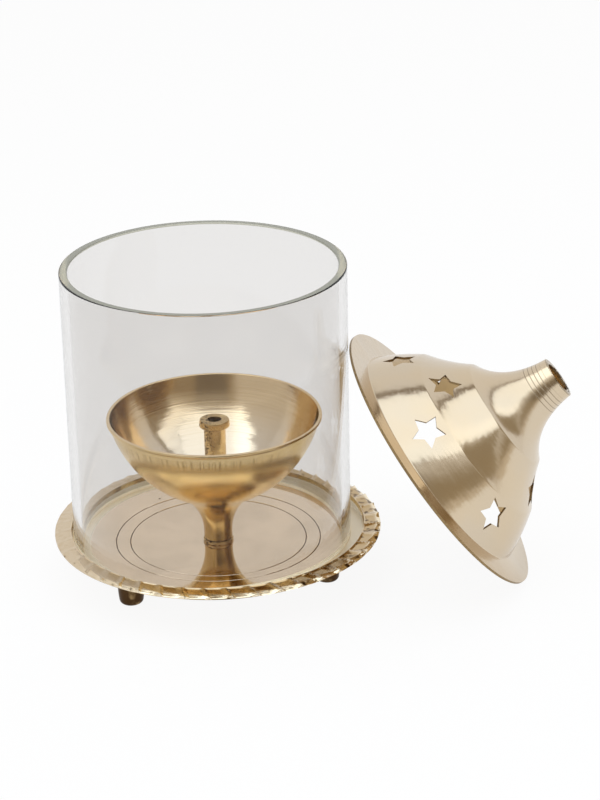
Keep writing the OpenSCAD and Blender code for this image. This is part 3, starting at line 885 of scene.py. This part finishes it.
class LAMP_OT_cup(bpy.types.Operator):
    """Builds the oil cup: bowl, lip, stem and the wick tube's socket"""
    bl_idname = "lamp.cup"
    bl_label = "Cup"

    def execute(self, context):
        c, tube = context.scene.lamp.cup, context.scene.lamp.tube
        foot = CUP_LOW.z
        centre = Vector((c.bowl_r - c.bowl_round * math.cos(c.bowl_lean),
                         c.rim + c.bowl_round * math.sin(c.bowl_lean)))
        stem_top = Vector((c.stem_r, foot + c.stem_len))
        off = stem_top - centre
        neck = (off.length_squared - c.bowl_round ** 2) / (2 * (c.bowl_round - off.x))
        neck_c = stem_top + Vector((neck, 0))
        meet = math.atan2(neck_c.y - centre.y, neck_c.x - centre.x)
        inner_lean = math.asin((centre.y - c.rim) / (c.bowl_round - c.rim_wall))
        socket = TUBE_LOW.z - c.socket_gap
        bowl_floor = TUBE_LOW.z + tube.spigot_len
        floor_turn = math.atan2(bowl_floor - centre.y, c.floor_r - centre.x)
        under_lip = arc(centre, c.bowl_round, meet, -c.bowl_lean - c.lip_h / c.bowl_round, BOWL_STEPS)
        lip_r = c.bowl_r + c.lip_w
        inside = arc(centre, c.bowl_round, -inner_lean, floor_turn, BOWL_STEPS)
        for i, p in enumerate(inside):
            wall = c.rim_wall + (c.wall - c.rim_wall) * min(2 * i / BOWL_STEPS, 1)
            inside[i] = p + (centre - p).normalized() * wall
        line, slots = joined([
            *corners(0, (0, foot), (c.stem_r - c.stem_bevel, foot)),
            (points((c.stem_r - c.stem_bevel, foot), (c.stem_r, foot + c.stem_bevel), stem_top), 0),
            (arc(neck_c, neck, math.pi, meet + math.pi, steps=40) + under_lip[1:], 0),
            *corners(0, under_lip[-1], (lip_r, c.rim - c.lip_h / 2), (lip_r - c.lip_w / 4, c.rim)),
            *corners(1, (lip_r - c.lip_w / 4, c.rim), inside[0]),
            (inside, 1),
            *corners(1, inside[-1], (c.socket_r, bowl_floor)),
            *corners(0, (c.socket_r, bowl_floor), (c.socket_r, socket), (0, socket)),
        ], c.corner)
        mesh = lathe("oil_cup", line, slots, columns=192)
        smooth(mesh)
        piece("oil_cup", mesh, [turned_brass, polished_bowl], "base", ["cup"])
        return {"FINISHED"}


class LAMP_OT_fasteners(bpy.types.Operator):
    """Builds the washer under the stem, and finishes the bolt and its washer"""
    bl_idname = "lamp.fasteners"
    bl_label = "Washer and bolt"

    def execute(self, context):
        lamp = context.scene.lamp
        bore, radius = lamp.tube.bore_r, WASHER_HIGH.x
        low, high = WASHER_LOW.z, WASHER_HIGH.z
        line, slots = joined(corners(0, (bore, high), (radius, high), (radius, low), (bore, low)),
                             lamp.cup.washer_corner)
        mesh = lathe("stem_ring", line, slots + [0], columns=96, closed=True)
        smooth(mesh)
        piece("stem_ring", mesh, [dull_brass], "base", ["stem_washer"])
        dress(["cup_bolt", "bolt_washer"], finish(dark_brass))
        return {"FINISHED"}


class LAMP_OT_tube(bpy.types.Operator):
    """Builds the wick tube with its collar, spigot and oil holes"""
    bl_idname = "lamp.tube"
    bl_label = "Wick tube"

    def execute(self, context):
        t = context.scene.lamp.tube
        low, high, collar_r = TUBE_LOW.z, TUBE_HIGH.z, TUBE_HIGH.x
        shoulder = low + t.spigot_len
        collar = high - t.collar_h
        line, slots = joined(corners(
            0, (t.bore_r, low), (t.spigot_r, low), (t.spigot_r, shoulder), (t.foot_r, shoulder),
            (t.top_r, collar), (collar_r - t.bevel, collar), (collar_r, collar + t.bevel),
            (collar_r - t.bevel / 2, high - t.bevel), (collar_r - t.bevel, high), (t.bore_r, high),
            (t.bore_r, low)), t.corner)
        mesh = lathe("wick_holder", line[:-1], slots, columns=96, closed=True)
        made = piece("wick_holder", mesh, [dull_brass], "wick", ["wick_tube"])
        bm = bmesh.new()
        quarter = math.pi / 2
        for i in range(2):
            place = Matrix.Translation((0, 0, shoulder + t.feed_rise + t.feed_step * i))
            place = place @ Matrix.Rotation(quarter * i, 4, "Z") @ Matrix.Rotation(quarter, 4, "Y")
            post(bm, t.feed_r, 3 * collar_r, place, segments=32)
        carve(made, bm, 0)
        smooth(made.data)
        return {"FINISHED"}


class LAMP_OT_glass(bpy.types.Operator):
    """Builds the glass chimney with ground rims"""
    bl_idname = "lamp.glass"
    bl_label = "Glass chimney"

    def execute(self, context):
        g = context.scene.lamp.glass
        middle = (GLASS_LOW + GLASS_HIGH) / 2
        out_r = (GLASS_HIGH.x - GLASS_LOW.x) / 2
        in_r = out_r - g.wall
        low, high, cloudy = GLASS_LOW.z, GLASS_HIGH.z, GLASS_LOW.z + 3 * g.edge
        line, slots = joined([
            *corners(0, (in_r, middle.z), (in_r, high)),
            *corners(1, (in_r, high), (out_r, high)),
            *corners(0, (out_r, high), (out_r, low)),
            *corners(2, (out_r, low), (in_r, low), (in_r, cloudy)),
            *corners(0, (in_r, cloudy), (in_r, middle.z)),
        ], g.edge)
        mesh = lathe("chimney", line[:-1], slots, columns=256, closed=True)
        mesh.transform(Matrix.Translation((middle.x, middle.y, 0)))
        smooth(mesh, sharp=60)
        paints = clear_glass, ground_glass, cloudy_glass_painted_glow
        piece("chimney", mesh, paints, "glass", ["glass_chimney"])
        return {"FINISHED"}


def line_normals(line):
    """Left-hand normals of a line of (radius, height) points."""
    line = np.array(line)
    run = np.gradient(line, axis=0)
    return np.c_[-run[:, 1], run[:, 0]] / np.hypot(run[:, 0], run[:, 1])[:, None]


def spun_normals(mesh, sides):
    """Gives each corner the normal of the smooth spun line, so that the stars don't disturb the gloss.

    sides maps a slot to the line that its faces follow and the sign of that line's normals."""
    verts = read(mesh.loops, "vertex_index", kind=int)
    co = read(mesh.vertices, "co", 3)
    total = read(mesh.polygons, "loop_total", kind=int)
    slot = np.repeat(read(mesh.polygons, "material_index", kind=int), total)
    normals = np.repeat(read(mesh.polygons, "normal", 3), total, axis=0)
    radius = np.maximum(np.hypot(co[:, 0], co[:, 1]), TINY)
    spots = np.c_[radius, co[:, 2]]
    for number, (line, sign) in sides.items():
        turn = line_normals(line) * sign
        line = np.array(line)
        best, found = np.full(len(spots), np.inf), np.zeros((len(spots), 2))
        for i in range(len(line) - 1):
            run = line[i + 1] - line[i]
            t = np.clip((spots - line[i]) @ run / (run @ run), 0, 1)[:, None]
            gap = np.hypot(*(spots - line[i] - t * run).T)
            nearer = gap < best
            best = np.where(nearer, gap, best)
            found[nearer] = ((1 - t) * turn[i] + t * turn[i + 1])[nearer]
        found /= np.hypot(found[:, 0], found[:, 1])[:, None]
        here = slot == number
        v = verts[here]
        normals[here] = np.c_[found[v, :1] * co[v, :2] / radius[v, None], found[v, 1]]
    mesh.normals_split_custom_set(normals.tolist())


def lid_stand(sizes):
    """The place and turn of the lid as it leans on the glass, its brim on the table."""
    off = (GLASS_HIGH.x - GLASS_LOW.x) / 2 + sizes.lean_gap + sizes.brim_r * math.cos(sizes.lean)
    stand = Matrix.Translation(((GLASS_LOW.x + GLASS_HIGH.x) / 2, 0, 0))
    stand = stand @ Matrix.Rotation(sizes.lean_turn, 4, "Z")
    stand = stand @ Matrix.Translation((off, 0, sizes.brim_r * math.sin(sizes.lean)))
    return stand @ Matrix.Rotation(sizes.lean, 4, "Y")


def star(bm, foot, top, place, bearing, tip, sizes):
    """Adds a star-shaped punch that stands square on the wall between two points of the lid's line."""
    at = foot.lerp(top, place)
    slope = math.atan2(top.y - foot.y, foot.x - top.x)
    stand = Matrix.Rotation(bearing, 4, "Z") @ Matrix.Translation((at.x, 0, at.y))
    stand = stand @ Matrix.Rotation(slope, 4, "Y") @ Matrix.Rotation(tip, 4, "Z")
    spokes = [(math.pi / 5 * i, sizes.star_r * (sizes.star_waist if i % 2 else 1)) for i in range(10)]
    base = [Vector((r * math.cos(a), r * math.sin(a), -sizes.star_r)) for a, r in spokes]
    face = bm.faces.new([bm.verts.new(stand @ p) for p in base])
    made = bmesh.ops.extrude_face_region(bm, geom=[face])
    raised = [v for v in made["geom"] if isinstance(v, bmesh.types.BMVert)]
    bmesh.ops.translate(bm, verts=raised, vec=stand.to_3x3() @ Vector((0, 0, 2 * sizes.star_r)))


class LAMP_OT_lid(bpy.types.Operator):
    """Builds the spun lid with its stars, leaning against the glass"""
    bl_idname = "lamp.lid"
    bl_label = "Lid"

    def execute(self, context):
        s = context.scene.lamp.lid
        brim = Vector((s.brim_r - s.brim_w, s.sheet))
        tier_1 = Vector((s.tier_1_r, brim.y + s.tier_1_h))
        tier_2 = Vector((s.tier_2_r, tier_1.y + s.tier_2_h))
        tip = Vector((s.tip_r, tier_2.y + s.neck_h))
        outer, slots = joined([
            ([Vector((s.brim_r, s.sheet)), brim], 0),
            (bow(brim, tier_1, s.tier_1_bow), 0),
            (bow(tier_1, tier_2, s.tier_2_bow), 0),
            (bow(tier_2, tip, s.neck_bow, s.neck_bend, 40), 0),
        ], s.crease)
        turn = line_normals(outer)
        inner = [p + Vector(n) * s.sheet for p, n in zip(outer, turn)]
        inner = [p for p in inner if p.y < tip.y - 1.5 * s.sheet]
        lip = points((s.hole_r, tip.y), (s.hole_r, tip.y - s.sheet), (inner[-1].x, tip.y - s.sheet))
        line = outer + lip + inner[::-1]
        slots = slots + [0, 2, 1, 1] + [1] * (len(inner) - 1) + [2]
        mesh = lathe("pierced_lid", line, slots, columns=288, closed=True)
        paints = spun_brass, lid_lining, cut_edge_painted_shade
        made = piece("pierced_lid", mesh, paints, "lid", ["lid"])
        bm = bmesh.new()
        for i in range(s.star_1_count):
            star(bm, brim, tier_1, s.star_1_place, s.star_1_turn + 2 * math.pi * i / s.star_1_count, 0, s)
        for bearing in s.star_2_turns:
            star(bm, tier_1, tier_2, s.star_2_place, bearing, math.pi, s)
        carve(made, bm, 2)
        smooth(made.data)
        spun_normals(made.data, {0: (outer, -1), 1: (inner, 1)})
        made.data.transform(lid_stand(s))
        return {"FINISHED"}


class LAMP_OT_stage(bpy.types.Operator):
    """Sets up the table, the studio light and the camera"""
    bl_idname = "lamp.stage"
    bl_label = "Stage"

    def execute(self, context):
        scene = context.scene
        scene.view_settings.view_transform = "Standard"
        for part in (self.table, self.room, self.softbox, self.camera):
            part(scene.lamp.stage)
        return {"FINISHED"}

    def table(self, s):
        """A round table top under the lamp."""
        bm = bmesh.new()
        bmesh.ops.create_circle(bm, cap_ends=True, segments=96, radius=s.table_r)
        mesh = mesh_of("table", bm)
        mesh.materials.append(finish(pale_table))
        table = placed("table", mesh)

    def room(self, s):
        """White behind the lamp and to its left, and a dim warm room in front and overhead.

        The camera sees white all round, also through the glass."""
        scene = bpy.context.scene
        scene.world = scene.world or bpy.data.worlds.new("studio")
        scene.world.use_nodes = True
        sheet = Sheet(scene.world.node_tree)
        x, y, z = sheet.axes(sheet.node("ShaderNodeTexCoord", output="Generated"))
        behind = (y / sheet.maths("MAXIMUM", z, LEVEL)).step(0.44, 0.48)
        beside = (-x).step(0.24, 0.5) * 0.75
        column = (1 - abs(x - 0.07).step(0.24, 0.36)) * (-y).step(0.4, 0.6)
        climb = z / sheet.maths("MAXIMUM", -y, LEVEL)
        glow = climb.between(0.4, 0.91, 0.88, 1.0)
        path = sheet.node("ShaderNodeLightPath", output="Is Camera Ray")
        bounced = sheet.maths("MINIMUM", path.other("Glossy Depth"), 1.0)
        seen = path + path.other("Is Transmission Ray") * (1 - bounced)
        tone = sheet.coat(s.low, (z.step(0.0, 0.12), s.front), (z.step(0.6, 0.8), s.overhead),
                          (column, s.column), (glow, s.glow),
                          (sheet.maths("MAXIMUM", behind, beside), s.wall), (seen, WHITE))
        light = sheet.node("ShaderNodeBackground", None, {"Color": tone, "Strength": 1.0})
        sheet.node("ShaderNodeOutputWorld", None, {"Surface": light})

    def softbox(self, s):
        """One wide soft light overhead, which the camera doesn't see."""
        light = bpy.data.lights.new("softbox", "AREA")
        light.shape = "RECTANGLE"
        light.size, light.size_y = s.softbox_w, s.softbox_d
        light.energy = s.softbox_power
        light.color = s.softbox_tone
        lamp = placed("softbox", light)
        lamp.location = s.softbox_at
        lamp.visible_camera = False

    def camera(self, s):
        """The photo's camera, as fitted to it."""
        right = Vector((1, 0, 0))
        up = Vector((0, math.sin(s.tilt), math.cos(s.tilt)))
        back = Vector((0, -math.cos(s.tilt), math.sin(s.tilt)))
        across = math.cos(s.roll) * right + math.sin(s.roll) * up
        rise = math.cos(s.roll) * up - math.sin(s.roll) * right
        data = bpy.data.cameras.new("camera")
        data.lens = s.lens
        data.clip_start = 10 * MM
        camera = placed("camera", data)
        turn = Matrix((across, rise, back)).transposed().to_4x4()
        camera.matrix_world = Matrix.Translation(s.eye) @ turn
        bpy.context.scene.camera = camera


class LAMP_PT_pieces(bpy.types.Panel):
    """Lists the lamp's pieces in the sidebar"""
    bl_idname = "LAMP_PT_pieces"
    bl_label = "Lamp"
    bl_space_type = "VIEW_3D"
    bl_region_type = "UI"
    bl_category = "Lamp"

    def draw(self, context):
        for operator in OPERATORS:
            self.layout.operator(operator.bl_idname)


SETTINGS = (DishSizes, FootSizes, CupSizes, TubeSizes, GlassSizes, LidSizes, FinishColours, StageSettings,
            LampSettings)
OPERATORS = (LAMP_OT_dish, LAMP_OT_feet, LAMP_OT_cup, LAMP_OT_fasteners, LAMP_OT_tube, LAMP_OT_glass,
             LAMP_OT_lid, LAMP_OT_stage)
CLASSES = SETTINGS + OPERATORS + (LAMP_PT_pieces,)


def register():
    for each in CLASSES:
        bpy.utils.register_class(each)
    bpy.types.Scene.lamp = PointerProperty(type=LampSettings)


def unregister():
    del bpy.types.Scene.lamp
    for each in reversed(CLASSES):
        bpy.utils.unregister_class(each)


def main():
    register()
    bpy.ops.lamp.dish()
    bpy.ops.lamp.feet()
    bpy.ops.lamp.cup()
    bpy.ops.lamp.fasteners()
    bpy.ops.lamp.tube()
    bpy.ops.lamp.glass()
    bpy.ops.lamp.lid()
    bpy.ops.lamp.stage()
    bpy.context.view_layer.update()


if __name__ == "__main__":
    main()
